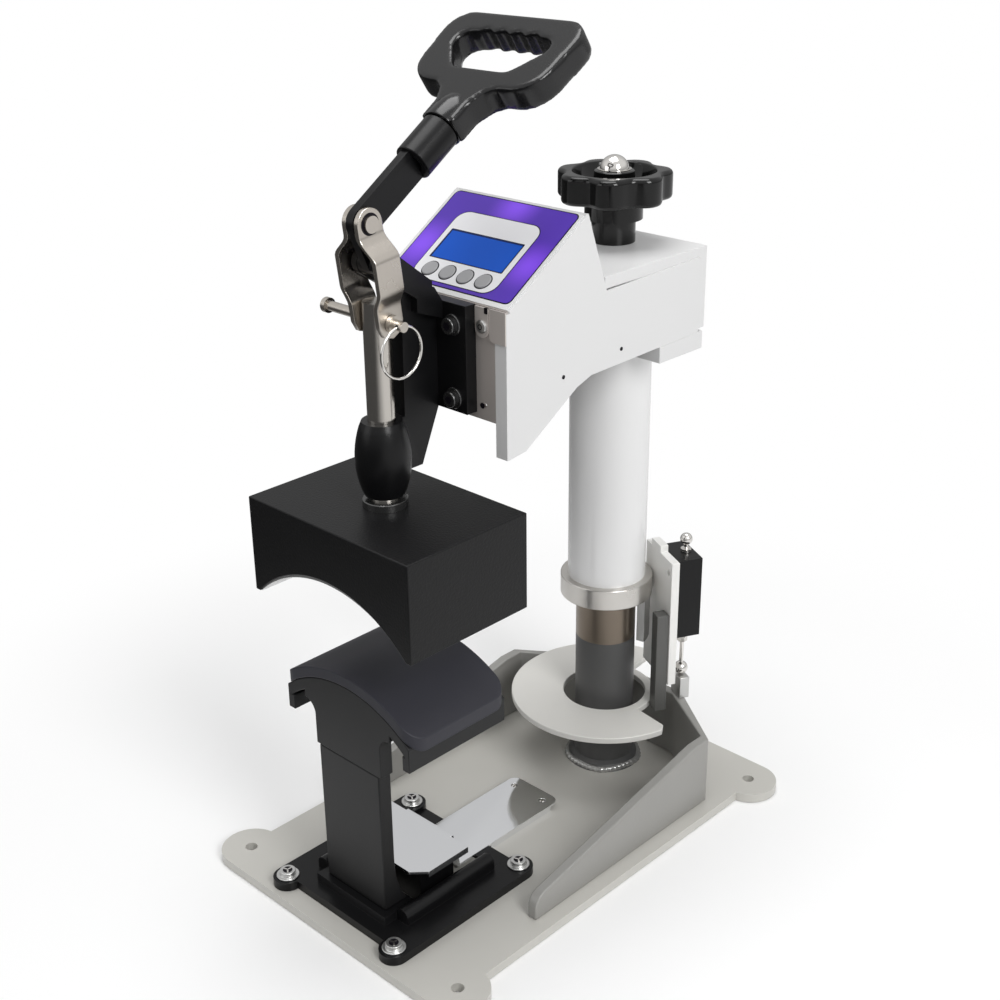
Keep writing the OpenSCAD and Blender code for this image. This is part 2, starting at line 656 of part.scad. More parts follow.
// Lever: a flat bar through A and B that leans back to the grip
module at_b() at_post() translate([0, b_y, b_z]) children();
module along_lever() at_b() rotate([-lean, 0, 0]) children();
module lever() color(black) difference() {
    union() {
        at_post() slab(lever_t) {
            hull() {
                translate([a_y, a_z]) circle(lever_w*0.4, $fn = 32);
                translate([b_y, b_z]) circle(lever_w/2, $fn = 32);
            }
            hull() {
                translate([b_y, b_z]) circle(lever_w/2, $fn = 32);
                translate([b_y + sleeve_to*sin(lean), b_z + sleeve_to*cos(lean)]) circle(lever_w/2, $fn = 32);
            }
        }
        at_a() rod_x(lever_w*0.4, -cheek_in + seat_gap, cheek_in - seat_gap);
    }
    at_a() rod_x(pin_r + run_gap, -cheek_out, cheek_out);
    at_b() rod_x(pin_r + run_gap, -cheek_out, cheek_out);
    along_lever() translate([0, 0, sleeve_from]) difference() {
        translate([-cheek_out, -cheek_out, 0]) cube([cheek_out*2, cheek_out*2, sleeve_to]);
        cylinder(r = sleeve_r*0.5, h = sleeve_to);
    }
}
module lever_sleeve() color(black) along_lever() translate([0, 0, sleeve_from])
    difference() {
        cylinder(r = sleeve_r, h = sleeve_to - sleeve_from);
        translate([0, 0, -cut]) cylinder(r = sleeve_r*0.5, h = sleeve_to);
    }
grip_neck = 17;
grip_root = 38;
grip_open = 55;
grip_bar = 18;
finger_r = 8.5;
finger_dip = 3.5;
neck_lip = 6;
module grip_outline() difference() {
    union() {
        hull() for (s = [-1, 1]) {
            translate([s*(grip_hw - grip_t), grip_h - grip_t]) circle(grip_t, $fn = 32);
            translate([s*(grip_hw - grip_t*1.3), grip_root + grip_t*1.2]) circle(grip_t*1.2, $fn = 32);
        }
        polygon([[-grip_neck, 0], [grip_neck, 0], [grip_neck, grip_root/2], [grip_neck*1.4, grip_root*0.85],
            [grip_neck*2.4, grip_root + neck_lip], [-grip_neck*2.4, grip_root + neck_lip],
            [-grip_neck*1.4, grip_root*0.85], [-grip_neck, grip_root/2]]);
    }
    hull() for (s = [-1, 1]) {
        translate([s*(grip_hw - grip_t*1.5), grip_h - grip_bar - finger_dip - grip_t/2])
            circle(grip_t/2, $fn = 32);
        translate([s*(grip_hw - grip_t*2.2), grip_open + grip_t*0.6]) circle(grip_t*0.6, $fn = 32);
    }
    // Four finger grooves
    for (i = [-1.5:1:1.5]) translate([i*finger_r*1.9, grip_h - grip_bar - finger_r]) circle(finger_r, $fn = 32);
}
module hand_grip() color(black) along_lever() translate([0, 0, sleeve_to + cut/2]) rotate([90, 0, 0])
    difference() {
        translate([0, 0, -grip_t/2]) linear_extrude(grip_t) grip_outline();
        translate([0, -grip_t, 0]) rotate([-90, 0, 0]) cylinder(r = sleeve_r*0.5, h = grip_t + lever_w/2 + cut);
    }

// Links: strips bowed round the pivot cheeks
link_len = sqrt(pow(b_y + head_y, 2) + pow(b_z - c_z, 2));
link_a = -atan((b_y + head_y)/(b_z - c_z));
module along_link() at_b() rotate([link_a, 0, 0]) children();
function ease(t) = t < 0 ? 0 : t > 1 ? 1 : t*t*(3 - 2*t);
bow_h = 18;
bow_low = 15;
function bow(z) = link_in + (link_bulge - link_in)*ease((z - link_bend)/bow_h)
    - (link_bulge - link_low)*ease((z - link_len + link_bend_low + bow_low)/bow_low);
link_steps = 36;
link_end = link_len + link_w/2;
module link_strip() polygon([[link_in, link_w/2], for (i = [0:link_steps]) [bow(link_end*i/link_steps),
    -link_end*i/link_steps], for (i = [link_steps:-1:0]) [bow(link_end*i/link_steps) + link_t,
    -link_end*i/link_steps], [link_in + link_t, link_w/2]]);
module link(s) color(silver) difference() {
    along_link() intersection() {
        mirror([s < 0 ? 1 : 0, 0, 0]) translate([0, -link_w/2, 0]) deep(link_w) link_strip();
        slab(lever_w*4) hull() {
            circle(link_w/2, $fn = 32);
            translate([0, -link_len]) circle(link_w*0.51, $fn = 8);
        }
    }
    at_b() rod_x(pin_r + run_gap, -lever_w, lever_w);
    along_link() translate([0, 0, -link_len]) rod_x(pin_r + run_gap, -lever_w*2, lever_w*2);
}
module link_left() link(-1);
module link_right() link(1);
module link_pin() color(silver) at_b() {
    end = link_in + link_t + pass_gap;
    rod_x(pin_r, -end - cut, end + cut);
    rod_x(pin_r*1.6, end, end + link_t/2);
    rod_x(pin_r*1.5, -end - link_t/2, -end);
}
pin_right = 30;
pin_left = -59;
module release_pin() color(silver) at_post() translate([0, -head_y, c_z]) difference() {
    pin_halves();
    translate([ring_x, 0, 0]) rotate([90, 0, 0]) cylinder(r = ring_wire*1.6, h = pin_r*3, center = true);
}
module pin_halves() {
    inner = plunger_r + pass_gap;
    rod_x(pin_r, inner, pin_right);
    rod_x(pin_r*1.7, link_low + link_t + pass_gap, link_low + link_t*2);
    rod_x(pin_r, pin_left, -inner);
    rod_x(pin_r*1.5, pin_left, pin_left + link_t);
}
ring_r = 20;
ring_wire = 1.2;
ring_x = pin_right - pin_r;
module pull_ring() color(silver) at_post() translate([ring_x, -head_y, c_z - ring_r]) rotate([0, 90, 0])
    rotate_extrude() translate([ring_r, 0]) circle(ring_wire, $fn = 24);

// Heat head
module heat_plunger() color("#dcdcdc") at_post() translate([0, -head_y, 0]) {
    translate([0, 0, box_top + flange_h/2])
        cylinder(r = plunger_r, h = c_z + plunger_r*1.3 - box_top - flange_h/2);
    translate([0, 0, box_top]) cylinder(r = flange_r, h = flange_h);
}
arch_r = (pow(box_w*0.47, 2) + arch_rise*arch_rise)/(arch_rise + arch_rise);
module heat_box() color("#1a1a1c") at_post() translate([0, -head_y - box_d/2, box_top - box_h]) difference() {
    translate([-box_w/2, 0, 0]) cube([box_w, box_d, box_h]);
    translate([0, -cut, arch_rise - arch_r]) deep(box_d + cut + cut) circle(arch_r, $fn = 180);
    translate([-box_w/2 + sheet_box, sheet_box, -cut])
        cube([box_w - sheet_box*2, box_d - sheet_box*2, box_h - sheet_box + cut]);
}
module heating_platen() color("#b8b8b8") at_post()
    translate([0, -head_y - box_d/2 + sheet_box, platen_z]) intersection() {
    deep(box_d - sheet_box*2) arc_band(platen_r + platen_t, platen_r, box_w/2 - sheet_box*2.5);
    translate([-box_w, 0, 0]) cube([box_w*2, box_d, box_top]);
}

base_plate();
gusset_wall();
post();
bearing_sleeve();
stop_disc();
detent_block();
pad_bracket();
bracket_screws();
shelf_bracket();
stand();
cap_saddle();
cap_pad();
swing_collar();
swing_tube();
height_screw();
lock_bracket();
guide_tongue();
stop_bar();
lock_housing();
lock_plunger();
side_panel_left();
side_panel_right();
rear_cover();
front_plate();
control_panel();
display_window();
clamp_block();
mount_plate();
casting();
mount_bolts();
lever_pin();
power_switch();
power_inlet();
adjust_knob();
knob_nut();
lever();
lever_sleeve();
hand_grip();
link_left();
link_right();
link_pin();
release_pin();
heat_plunger();
heat_box();
heating_platen();
pull_ring();
button_1();
button_2();
button_3();
button_4();
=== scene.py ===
# %% [markdown]
# A cap heat press swings a curved hot plate on a post over a saddle for the cap, and a lever with
# two links presses it down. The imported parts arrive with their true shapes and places, so this
# script only dresses them: it eases their edges, gives each a finish, adds the small things that
# show, such as the printed panel and the screws, and sets the light and the camera.

# %% Load the parts
import bpy, bmesh, json, math
from mathutils import Matrix, Vector


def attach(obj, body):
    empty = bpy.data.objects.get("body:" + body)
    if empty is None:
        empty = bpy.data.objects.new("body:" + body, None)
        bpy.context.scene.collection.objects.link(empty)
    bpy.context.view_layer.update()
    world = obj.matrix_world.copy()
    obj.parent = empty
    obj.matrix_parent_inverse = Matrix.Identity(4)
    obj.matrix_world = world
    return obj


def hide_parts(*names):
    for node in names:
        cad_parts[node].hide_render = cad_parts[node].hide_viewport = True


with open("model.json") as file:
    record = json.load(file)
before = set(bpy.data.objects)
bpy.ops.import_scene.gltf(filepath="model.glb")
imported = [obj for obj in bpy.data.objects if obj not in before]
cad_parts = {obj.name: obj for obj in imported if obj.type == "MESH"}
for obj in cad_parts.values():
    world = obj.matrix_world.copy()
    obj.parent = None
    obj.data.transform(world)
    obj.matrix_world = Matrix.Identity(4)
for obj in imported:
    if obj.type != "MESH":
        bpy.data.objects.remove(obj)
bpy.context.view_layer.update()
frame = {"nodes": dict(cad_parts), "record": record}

# %% [markdown]
# Blender works in metres. The sizes below are in millimetres, and depths are measured from the
# post's axis, as on the real machine, where everything above the base swings round that post.

# %% Shared sizes
MM = 0.001
POST_Y = 0.1385


def from_post(x, y, z):
    """A place given in millimetres from the post's axis."""
    return Vector((x*MM, y*MM + POST_Y, z*MM))


print("post axis", [round(v, 4) for v in from_post(0, 0, 0)])

# %% [markdown]
# The camera has the photograph's own view. Azimuth goes round the machine, elevation looks down on
# it, and roll tips the frame a little. A camera looks along its own -Z, so its matrix is built from
# three axes, right, up and back, which is plainer than three Euler angles in the right order.

# %% The camera
SENSOR = 36


def aim_camera(place, azimuth, elevation, roll, lens):
    """Looks from place with the azimuth, elevation and roll of the photograph."""
    az, el, ro = (math.radians(v) for v in (azimuth, elevation, roll))
    back = Vector((math.sin(az)*math.cos(el), -math.cos(az)*math.cos(el), math.sin(el)))
    level = Vector((math.cos(az), math.sin(az), 0))
    above = back.cross(level)
    right = level*math.cos(ro) + above*math.sin(ro)
    up = above*math.cos(ro) - level*math.sin(ro)
    cam = bpy.data.objects.new("camera", bpy.data.cameras.new("camera"))
    cam.matrix_world = Matrix.Translation(place) @ Matrix((right, up, back)).transposed().to_4x4()
    cam.data.lens = lens
    cam.data.sensor_width = SENSOR
    bpy.context.collection.objects.link(cam)
    bpy.context.scene.camera = cam


aim_camera(Vector((0.8152, -0.8439, 0.8527)), azimuth=44.19, elevation=23.99, roll=-0.69, lens=54)
print("camera", [round(v, 3) for v in bpy.context.scene.camera.matrix_world.translation])

# %% [markdown]
# Materials are networks of nodes, and writing each node out is long. Three helpers keep it short:
# one starts a node group with named inputs and outputs, one adds a sum or a product, and one
# carries a value from one range of numbers to another.

# %% Node helpers
def new_group(name, inputs, outputs):
    group = bpy.data.node_groups.new(name, "ShaderNodeTree")
    for label, kind, value in inputs:
        socket = group.interface.new_socket(label, in_out="INPUT", socket_type=kind)
        socket.default_value = value
    for label, kind in outputs:
        group.interface.new_socket(label, in_out="OUTPUT", socket_type=kind)
    return group, group.nodes.new("NodeGroupInput"), group.nodes.new("NodeGroupOutput")


def math_node(tree, operation, a, b):
    node = tree.nodes.new("ShaderNodeMath")
    node.operation = operation
    for socket, value in zip(node.inputs, (a, b)):
        if isinstance(value, (int, float)):
            socket.default_value = value
        else:
            tree.links.new(value, socket)
    return node.outputs[0]


def map_range(tree, value, source, target, smooth=False):
    """Carries value from the source pair of numbers to the target pair, and no further."""
    node = tree.nodes.new("ShaderNodeMapRange")
    if smooth:
        node.interpolation_type = "SMOOTHSTEP"
    for label, number in zip(("From Min", "From Max", "To Min", "To Max"), (*source, *target)):
        node.inputs[label].default_value = number
    tree.links.new(value, node.inputs["Value"])
    return node.outputs["Result"]


# %% [markdown]
# Hands and dust change a surface's colour and gloss in soft clouds. A painted picture of that would
# need unwrapped parts. Noise in object space needs none, stays with a part when it moves, and as a
# group can be used by every finish with its own strength.

# %% The handling group
def make_handling_group():
    """Clouds of wear: colour a little lighter or darker, gloss a little finer or rougher."""
    group, given, out = new_group(
        "handling",
        [("Color", "NodeSocketColor", (1, 1, 1, 1)), ("Tint", "NodeSocketFloat", 0.06),
         ("Roughness", "NodeSocketFloat", 0.4), ("Spread", "NodeSocketFloat", 0.08),
         ("Scale", "NodeSocketFloat", 14.0)],
        [("Color", "NodeSocketColor"), ("Roughness", "NodeSocketFloat")])
    coords = group.nodes.new("ShaderNodeTexCoord")
    noise = group.nodes.new("ShaderNodeTexNoise")
    noise.inputs["Detail"].default_value = 5
    group.links.new(coords.outputs["Object"], noise.inputs["Vector"])
    group.links.new(given.outputs["Scale"], noise.inputs["Scale"])
    cloud = math_node(group, "SUBTRACT", noise.outputs["Fac"], 0.5)
    change = math_node(group, "MULTIPLY", cloud, given.outputs["Tint"])
    tint = group.nodes.new("ShaderNodeVectorMath")
    tint.operation = "SCALE"
    group.links.new(given.outputs["Color"], tint.inputs[0])
    group.links.new(math_node(group, "ADD", 1.0, change), tint.inputs["Scale"])
    group.links.new(tint.outputs[0], out.inputs["Color"])
    spread = math_node(group, "MULTIPLY", cloud, given.outputs["Spread"])
    rough = math_node(group, "ADD", given.outputs["Roughness"], spread)
    group.links.new(rough, out.inputs["Roughness"])
    return group


HANDLING = make_handling_group()
print("handling group", len(HANDLING.nodes), "nodes")

# %% [markdown]
# Paint and brushing leave a fine relief, far too small for faces. A noise gives its height, and a
# bump shader turns that into light and shade. Stretched along one axis, the same noise becomes the
# lines of a brush or a lathe, so one group serves for all.

# %% The grain group
def make_grain_group():
    """A height for the bump: noise that can be stretched along one axis, as brushing is."""
    group, given, out = new_group(
        "grain",
        [("Scale", "NodeSocketFloat", 900.0), ("Stretch", "NodeSocketVector", (1, 1, 1))],
        [("Height", "NodeSocketFloat")])
    coords = group.nodes.new("ShaderNodeTexCoord")
    stretch = group.nodes.new("ShaderNodeVectorMath")
    stretch.operation = "MULTIPLY"
    noise = group.nodes.new("ShaderNodeTexNoise")
    noise.inputs["Detail"].default_value = 3
    group.links.new(coords.outputs["Object"], stretch.inputs[0])
    group.links.new(given.outputs["Stretch"], stretch.inputs[1])
    group.links.new(stretch.outputs[0], noise.inputs["Vector"])
    group.links.new(given.outputs["Scale"], noise.inputs["Scale"])
    group.links.new(noise.outputs["Fac"], out.inputs["Height"])
    return group


GRAIN = make_grain_group()
print("grain group", len(GRAIN.nodes), "nodes")

# %% [markdown]
# Most finishes here are paint, plated steel or moulded plastic. They differ in colour, gloss and
# the size of their relief, so one function makes them all and each call says what is special.

# %% The finish maker
def finish(name, color, rough, metallic=0.0, specular=0.5, tint=0.06, spread=0.08, clouds=14.0,
           grain=900.0, stretch=(1, 1, 1), relief=0.03, depth=0.0004, coat=0.0):
    """A Principled material with clouds of wear and a fine bump."""
    made = bpy.data.materials.new(name)
    made.use_nodes = True
    tree = made.node_tree
    shader = tree.nodes["Principled BSDF"]
    for label, value in (("Metallic", metallic), ("Specular IOR Level", specular),
                         ("Coat Weight", coat), ("Coat Roughness", 0.1)):
        shader.inputs[label].default_value = value
    wear = tree.nodes.new("ShaderNodeGroup")
    wear.node_tree = HANDLING
    for label, value in (("Color", (*color, 1)), ("Tint", tint), ("Roughness", rough),
                         ("Spread", spread), ("Scale", clouds)):
        wear.inputs[label].default_value = value
    tree.links.new(wear.outputs["Color"], shader.inputs["Base Color"])
    tree.links.new(wear.outputs["Roughness"], shader.inputs["Roughness"])
    fine = tree.nodes.new("ShaderNodeGroup")
    fine.node_tree = GRAIN
    fine.inputs["Scale"].default_value = grain
    fine.inputs["Stretch"].default_value = stretch
    bump = tree.nodes.new("ShaderNodeBump")
    bump.inputs["Strength"].default_value = relief
    bump.inputs["Distance"].default_value = depth
    tree.links.new(fine.outputs["Height"], bump.inputs["Height"])
    tree.links.new(bump.outputs["Normal"], shader.inputs["Normal"])
    return made


# %% [markdown]
# The base is sprayed in a warm grey with a slight orange peel. The housing is a clean white powder
# coat, and the castings and the heat box are black, the box with the coarse wrinkle of oven paint.

# %% Painted finishes
base_grey = finish("base_grey_paint", (0.53, 0.52, 0.485), 0.32,
                   tint=0.14, clouds=9, grain=420, relief=0.12)
# The wall wears the same grey paint as the base; its darker colour here is painted shade.
wall_grey_painted_shade = finish("wall_base_grey_painted_shade", (0.30, 0.295, 0.28), 0.34,
                   tint=0.14, clouds=9, grain=420, relief=0.12)
post_grey = finish("post_grey_paint", (0.072, 0.072, 0.072), 0.45,
                   tint=0.2, grain=300, relief=0.08)
# The disc wears the same grey paint as the base; its lighter colour here is painted light.
disc_grey_painted_light = finish("disc_base_grey_painted_light", (0.72, 0.71, 0.675), 0.38,
                   tint=0.08, grain=420, relief=0.10)
housing_white = finish("housing_white_powder", (0.72, 0.72, 0.72), 0.34,
                       tint=0.03, grain=500, relief=0.05)
tube_white = finish("tube_white_gloss", (0.80, 0.80, 0.80), 0.22,
                    tint=0.02, grain=150, relief=0.02, coat=0.4)
black_paint = finish("black_satin_paint", (0.005, 0.005, 0.0055), 0.30,
                     specular=0.25, tint=0.3, grain=350, relief=0.08)
stand_black = finish("stand_black_paint", (0.009, 0.009, 0.0095), 0.42,
                     specular=0.3, tint=0.2, grain=600, relief=0.10)
wrinkle_black = finish("oven_wrinkle_black", (0.008, 0.008, 0.0085), 0.38,
                       specular=0.2, tint=0.25, grain=520, relief=0.40, depth=0.0005)
bar_grey = finish("stop_bar_grey_paint", (0.10, 0.10, 0.095), 0.40,
                  tint=0.1, grain=420, relief=0.08)
# The front plate and its lapping sheets are white steel; their taupe colour is painted shade.
front_white_painted_shade = finish("front_white_steel_painted_shade", (0.50, 0.46, 0.435), 0.36,
                     metallic=0.35, tint=0.06, grain=500, relief=0.04)
lap_white_painted_shade = finish("lap_white_steel_painted_shade", (0.60, 0.555, 0.525), 0.34,
                   metallic=0.35, tint=0.06, grain=500, relief=0.04)
print("painted finishes", len(bpy.data.materials))

# %% [markdown]
# Bare metal carries the marks of how it was made. The links are rolled and brushed lengthways. The
# collar is turned, so its lines run round it. The sheet under the stand is polished like a mirror.

# %% Metal finishes
LENGTHWAYS, TURNED, MILLED = (3, 3, 0.12), (0.1, 0.1, 3), (3, 0.1, 3)
brushed_links = finish("brushed_nickel", (0.56, 0.52, 0.47), 0.27,
                       metallic=1.0, grain=700, stretch=LENGTHWAYS, relief=0.12)
turned_collar = finish("turned_steel", (0.62, 0.60, 0.57), 0.28,
                       metallic=1.0, grain=900, stretch=TURNED, relief=0.10)
polished_sheet = finish("mirror_polished_steel", (0.90, 0.91, 0.93), 0.07,
                        metallic=1.0, tint=0.03, spread=0.03, relief=0.01)
ground_rod = finish("ground_plunger_steel", (0.60, 0.57, 0.53), 0.18,
                    metallic=1.0, grain=900, stretch=(3, 3, 0.05), relief=0.10)
zinc_plate = finish("zinc_plated_steel", (0.60, 0.60, 0.59), 0.32,
                    metallic=1.0, tint=0.12, clouds=40, relief=0.06)
weld_grey = finish("weld_bead_metal", (0.42, 0.42, 0.41), 0.24,
                   metallic=0.6, tint=0.5, clouds=60, relief=0.2)
bronze_bush = finish("bronze_bearing", (0.21, 0.175, 0.14), 0.32,
                     metallic=0.9, tint=0.3, grain=800, stretch=TURNED, relief=0.10)
cast_platen = finish("machined_aluminium", (0.66, 0.66, 0.66), 0.30,
                     metallic=1.0, grain=700, stretch=MILLED, relief=0.10)
chrome_ball = finish("chrome_balls", (0.78, 0.76, 0.73), 0.10,
                     metallic=1.0, tint=0.02, spread=0.03, relief=0.01)
satin_plate = finish("satin_plated_bracket", (0.88, 0.875, 0.85), 0.45,
                     metallic=0.1, tint=0.10, clouds=30, relief=0.05)
dark_steel = finish("black_oxide_steel", (0.13, 0.13, 0.13), 0.22,
                    metallic=0.9, tint=0.3, relief=0.08)
print("with the metals", len(bpy.data.materials))

# %% [markdown]
# The grip and the knob are moulded, the pad is a smooth charcoal silicone, and the panel is a
# printed film with its own violet, white and dark lines round a lit blue display.

# %% Plastic, rubber and print
grip_black = finish("grip_satin_plastic", (0.006, 0.006, 0.0065), 0.20,
                    specular=0.5, tint=0.2, grain=500, relief=0.06)
knob_black = finish("knob_gloss_plastic", (0.003, 0.003, 0.003), 0.12,
                    specular=0.4, tint=0.1, spread=0.03, grain=200, relief=0.02)
silicone = finish("charcoal_silicone", (0.031, 0.031, 0.040), 0.46,
                  specular=0.3, tint=0.10, clouds=8, grain=700, relief=0.05)
film_violet = finish("violet_film", (0.085, 0.030, 0.42), 0.28,
                     specular=0.3, tint=0.02, spread=0.02, relief=0.005)
film_white = finish("white_film", (0.80, 0.80, 0.82), 0.28,
                    tint=0.01, spread=0.02, relief=0.005)
# This near-black is printed lines on the film and also painted shade in holes, sockets and gaps.
dark_print_and_shade = finish("dark_print_and_painted_shade", (0.006, 0.005, 0.008), 0.4,
                   specular=0.15, tint=0.1, relief=0.01)
lcd_shade = finish("display_shade", (0.002, 0.016, 0.10), 0.3,
                   specular=0.15, tint=0.05, relief=0.01)
key_grey = finish("grey_key_rubber", (0.33, 0.33, 0.34), 0.5,
                  tint=0.06, relief=0.04)
lcd_blue = finish("lit_blue_display", (0.006, 0.090, 0.54), 0.2,
                  specular=0.15, tint=0.1, clouds=8, relief=0.005)
print("all finishes", len(bpy.data.materials))

# %% [markdown]
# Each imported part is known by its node's name, so one table says what every part wears. A table is
# easier to read and to change than a material set part by part.

# %% What every part wears
FINISHES = {
    "base_plate": base_grey, "gusset_wall": wall_grey_painted_shade, "post": post_grey,
    "bearing_sleeve": bronze_bush, "stop_disc": disc_grey_painted_light, "detent_block": zinc_plate,
    "pad_bracket": black_paint, "bracket_screws": zinc_plate, "shelf_bracket": polished_sheet,
    "stand": stand_black, "cap_saddle": stand_black, "cap_pad": silicone,
    "swing_collar": turned_collar, "swing_tube": tube_white, "height_screw": zinc_plate,
    "lock_bracket": satin_plate, "guide_tongue": zinc_plate, "stop_bar": bar_grey,
    "lock_housing": black_paint, "lock_plunger": chrome_ball, "side_panel_left": housing_white,
    "side_panel_right": housing_white, "rear_cover": housing_white, "front_plate": front_white_painted_shade,
    "control_panel": housing_white, "display_window": lcd_blue, "clamp_block": housing_white,
    "mount_plate": black_paint, "casting": black_paint, "mount_bolts": dark_steel,
    "lever_pin": dark_steel, "power_switch": grip_black, "power_inlet": grip_black,
    "adjust_knob": knob_black, "knob_nut": chrome_ball, "lever": black_paint,
    "lever_sleeve": black_paint, "hand_grip": grip_black, "link_left": brushed_links,
    "link_right": brushed_links, "link_pin": brushed_links, "release_pin": brushed_links,
    "heat_plunger": ground_rod, "heat_box": wrinkle_black, "heating_platen": cast_platen,
    "pull_ring": chrome_ball, "button_1": key_grey, "button_2": key_grey, "button_3": key_grey,
    "button_4": key_grey,
}
print("dressed parts", len(FINISHES), "of", len(frame["nodes"]))

# %% [markdown]
# No real edge is perfectly sharp: paint and tumbling leave a small radius that catches the light. A
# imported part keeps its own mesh, so the eased part is a copy. Its loose triangles are merged, flat
# areas are dissolved into single faces, and a Bevel modifier rounds what is still an edge.

# %% A helper for eased copies
BODY_OF = {node: body for body, nodes in frame["record"]["behaviour"]["bodies"].items()
           for node in nodes}
SLOT_OF = {s["node"]: s["material_slot"] for s in frame["record"]["subparts"]}
SAME_PLACE = 0.01*MM
FINE_BEVEL, SOFT_BEVEL, SOFT_FROM = 3, 5, 2.3
BEVEL_FROM, SHARP_FROM = 38, 40


def smooth_by_angle(mesh, degrees=32):
    mesh.polygons.foreach_set("use_smooth", [True]*len(mesh.polygons))
    mesh.set_sharp_from_angle(angle=math.radians(degrees))


def show(piece, body, slot_name, *nodes):
    """Says what a new piece rides on and the parts that it stands for; slot_name is not used."""
    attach(piece, body)
    if nodes:
        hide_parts(*nodes)


def eased_copy(node, radius):
    """A copy of a part's mesh with its edges rounded by radius millimetres."""
    work = bmesh.new()
    work.from_mesh(frame["nodes"][node].data)
    bmesh.ops.remove_doubles(work, verts=work.verts, dist=SAME_PLACE)
    bmesh.ops.dissolve_limit(work, angle_limit=math.radians(1), verts=work.verts, edges=work.edges)
    mesh = bpy.data.meshes.new(node + "_eased")
    work.to_mesh(mesh)
    work.free()
    mesh.materials.append(FINISHES[node])
    piece = bpy.data.objects.new(node + "_eased", mesh)
    bpy.context.collection.objects.link(piece)
    ease = piece.modifiers.new("eased_edges", "BEVEL")
    ease.width = radius*MM
    ease.segments = SOFT_BEVEL if radius > SOFT_FROM else FINE_BEVEL
    ease.limit_method = "ANGLE"
    ease.angle_limit = math.radians(BEVEL_FROM)
    ease.use_clamp_overlap = True
    smooth_by_angle(mesh, SHARP_FROM)
    show(piece, BODY_OF[node], SLOT_OF[node], node)
    return piece


# %% [markdown]
# The radii follow how each part is made: a silicone pad or a casting is soft, and a cut sheet is
# crisp. Parts that are round, or whose edges hardly show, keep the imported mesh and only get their
# finish. The grip is left for later, because a bevel can't make it as soft as it is.

# %% Ease and dress the parts
EASED = {
    "base_plate": 1.6, "gusset_wall": 1.2, "stop_disc": 0.8, "pad_bracket": 1.4,
    "shelf_bracket": 0.5, "stand": 1.2, "cap_saddle": 1.0, "cap_pad": 2.2, "swing_collar": 0.9,
    "lock_bracket": 0.6, "stop_bar": 0.7, "lock_housing": 1.2, "side_panel_left": 0.5,
    "side_panel_right": 0.5, "rear_cover": 1.5, "front_plate": 0.4, "clamp_block": 1.2,
    "mount_plate": 1.5, "casting": 1.6, "adjust_knob": 2.4, "lever": 1.0, "lever_sleeve": 1.0,
    "link_left": 0.7, "link_right": 0.7, "heat_box": 2.2, "heating_platen": 0.5,
    "power_inlet": 0.5, "release_pin": 0.5, "bracket_screws": 0.5, "mount_bolts": 0.8,
    "detent_block": 0.5,
}
for node, radius in EASED.items():
    eased_copy(node, radius)
for node, part in frame["nodes"].items():
    if node not in EASED:
        part.data.materials.clear()
        part.data.materials.append(FINISHES[node])
print("eased", len(EASED), "bare", len(frame["nodes"]) - len(EASED))

# %% [markdown]
# The front plate ends a little above the arm's lower edge, so that the white flange stands free
# below it. The lowest corners of its eased copy move up, and the small hole near them moves along.
# The hole's rim is the only raised part away from the corners, and its middle is kept for later.

# %% The front plate's lower edge
FRONT_RISE = 28
LOW_BAND = 20
CORNER_X = 60
plate_mesh = bpy.data.objects["front_plate_eased"].data
lowest = min(v.co.z for v in plate_mesh.vertices)
raised = [v for v in plate_mesh.vertices if v.co.z < lowest + LOW_BAND*MM]
for v in raised:
    v.co.z += FRONT_RISE*MM
rim = [v.co for v in raised if abs(v.co.x) < CORNER_X*MM]
HOLE_X, HOLE_Z = (sum(c[k] for c in rim)/len(rim)/MM for k in (0, 2))
print("front plate corners raised", len(raised), "hole_shade", round(HOLE_X, 1), round(HOLE_Z, 1))

# %% [markdown]
# The knob is a seven-lobed moulding with a deep round dish, and a boss in the dish's middle for the
# lock nut. Its outer edges are bevelled in the mesh. Then the flat top face is taken out, rings of
# edges are laid where the dish's rim, floor and boss are, and bridge_loops fills the bands.

# %% The knob's lobes and dish
KNOB_TOP = 591.3
LOBES_FROM, LOBE_ANGLE, LOBE_ROUND = 40, 60, 4.0
DISH = ((37.2, 0), (36.4, -0.3), (35.9, -1.1), (34.2, -13.5),
        (18.5, -13.5), (17.2, -0.8), (16.6, -0.2), (15.8, 0))
knob_piece = bpy.data.objects["adjust_knob_eased"]
knob_piece.modifiers.clear()
knob = bmesh.new()
knob.from_mesh(knob_piece.data)
axis = from_post(0, 0, 0)
lobe_edges = [e for e in knob.edges if e.calc_face_angle(0) > math.radians(LOBE_ANGLE)
              and all((v.co - axis).to_2d().length > LOBES_FROM*MM for v in e.verts)]
bmesh.ops.bevel(knob, geom=lobe_edges, offset=LOBE_ROUND*MM, segments=5, affect="EDGES",
                profile=0.5, material=-1, clamp_overlap=True)
flat_faces = [f for f in knob.faces if f.normal.z > 0.99]
top_face = max(flat_faces, key=lambda f: (round(f.calc_center_median().z, 4), f.calc_area()))
ring_edges = list(top_face.edges)
bmesh.ops.delete(knob, geom=[top_face], context="FACES_ONLY")
for radius, height in DISH:
    place = Matrix.Translation(from_post(0, 0, KNOB_TOP + height))
    made = bmesh.ops.create_circle(knob, segments=90, radius=radius*MM, matrix=place)
    next_edges = list({e for v in made["verts"] for e in v.link_edges})
    bmesh.ops.bridge_loops(knob, edges=ring_edges + next_edges)
    ring_edges = next_edges
bmesh.ops.contextual_create(knob, geom=ring_edges)
bmesh.ops.recalc_face_normals(knob, faces=knob.faces)
knob.to_mesh(knob_piece.data)
knob.free()
smooth_by_angle(knob_piece.data, SHARP_FROM)
print("knob faces", len(knob_piece.data.polygons), "bevelled edges", len(lobe_edges))

# %% [markdown]
# The grip is one soft moulding, rounder than a bevel could make it round the finger dips. A Remesh
# modifier gives the copy an even skin, and a Smooth modifier then melts its edges like plastic.

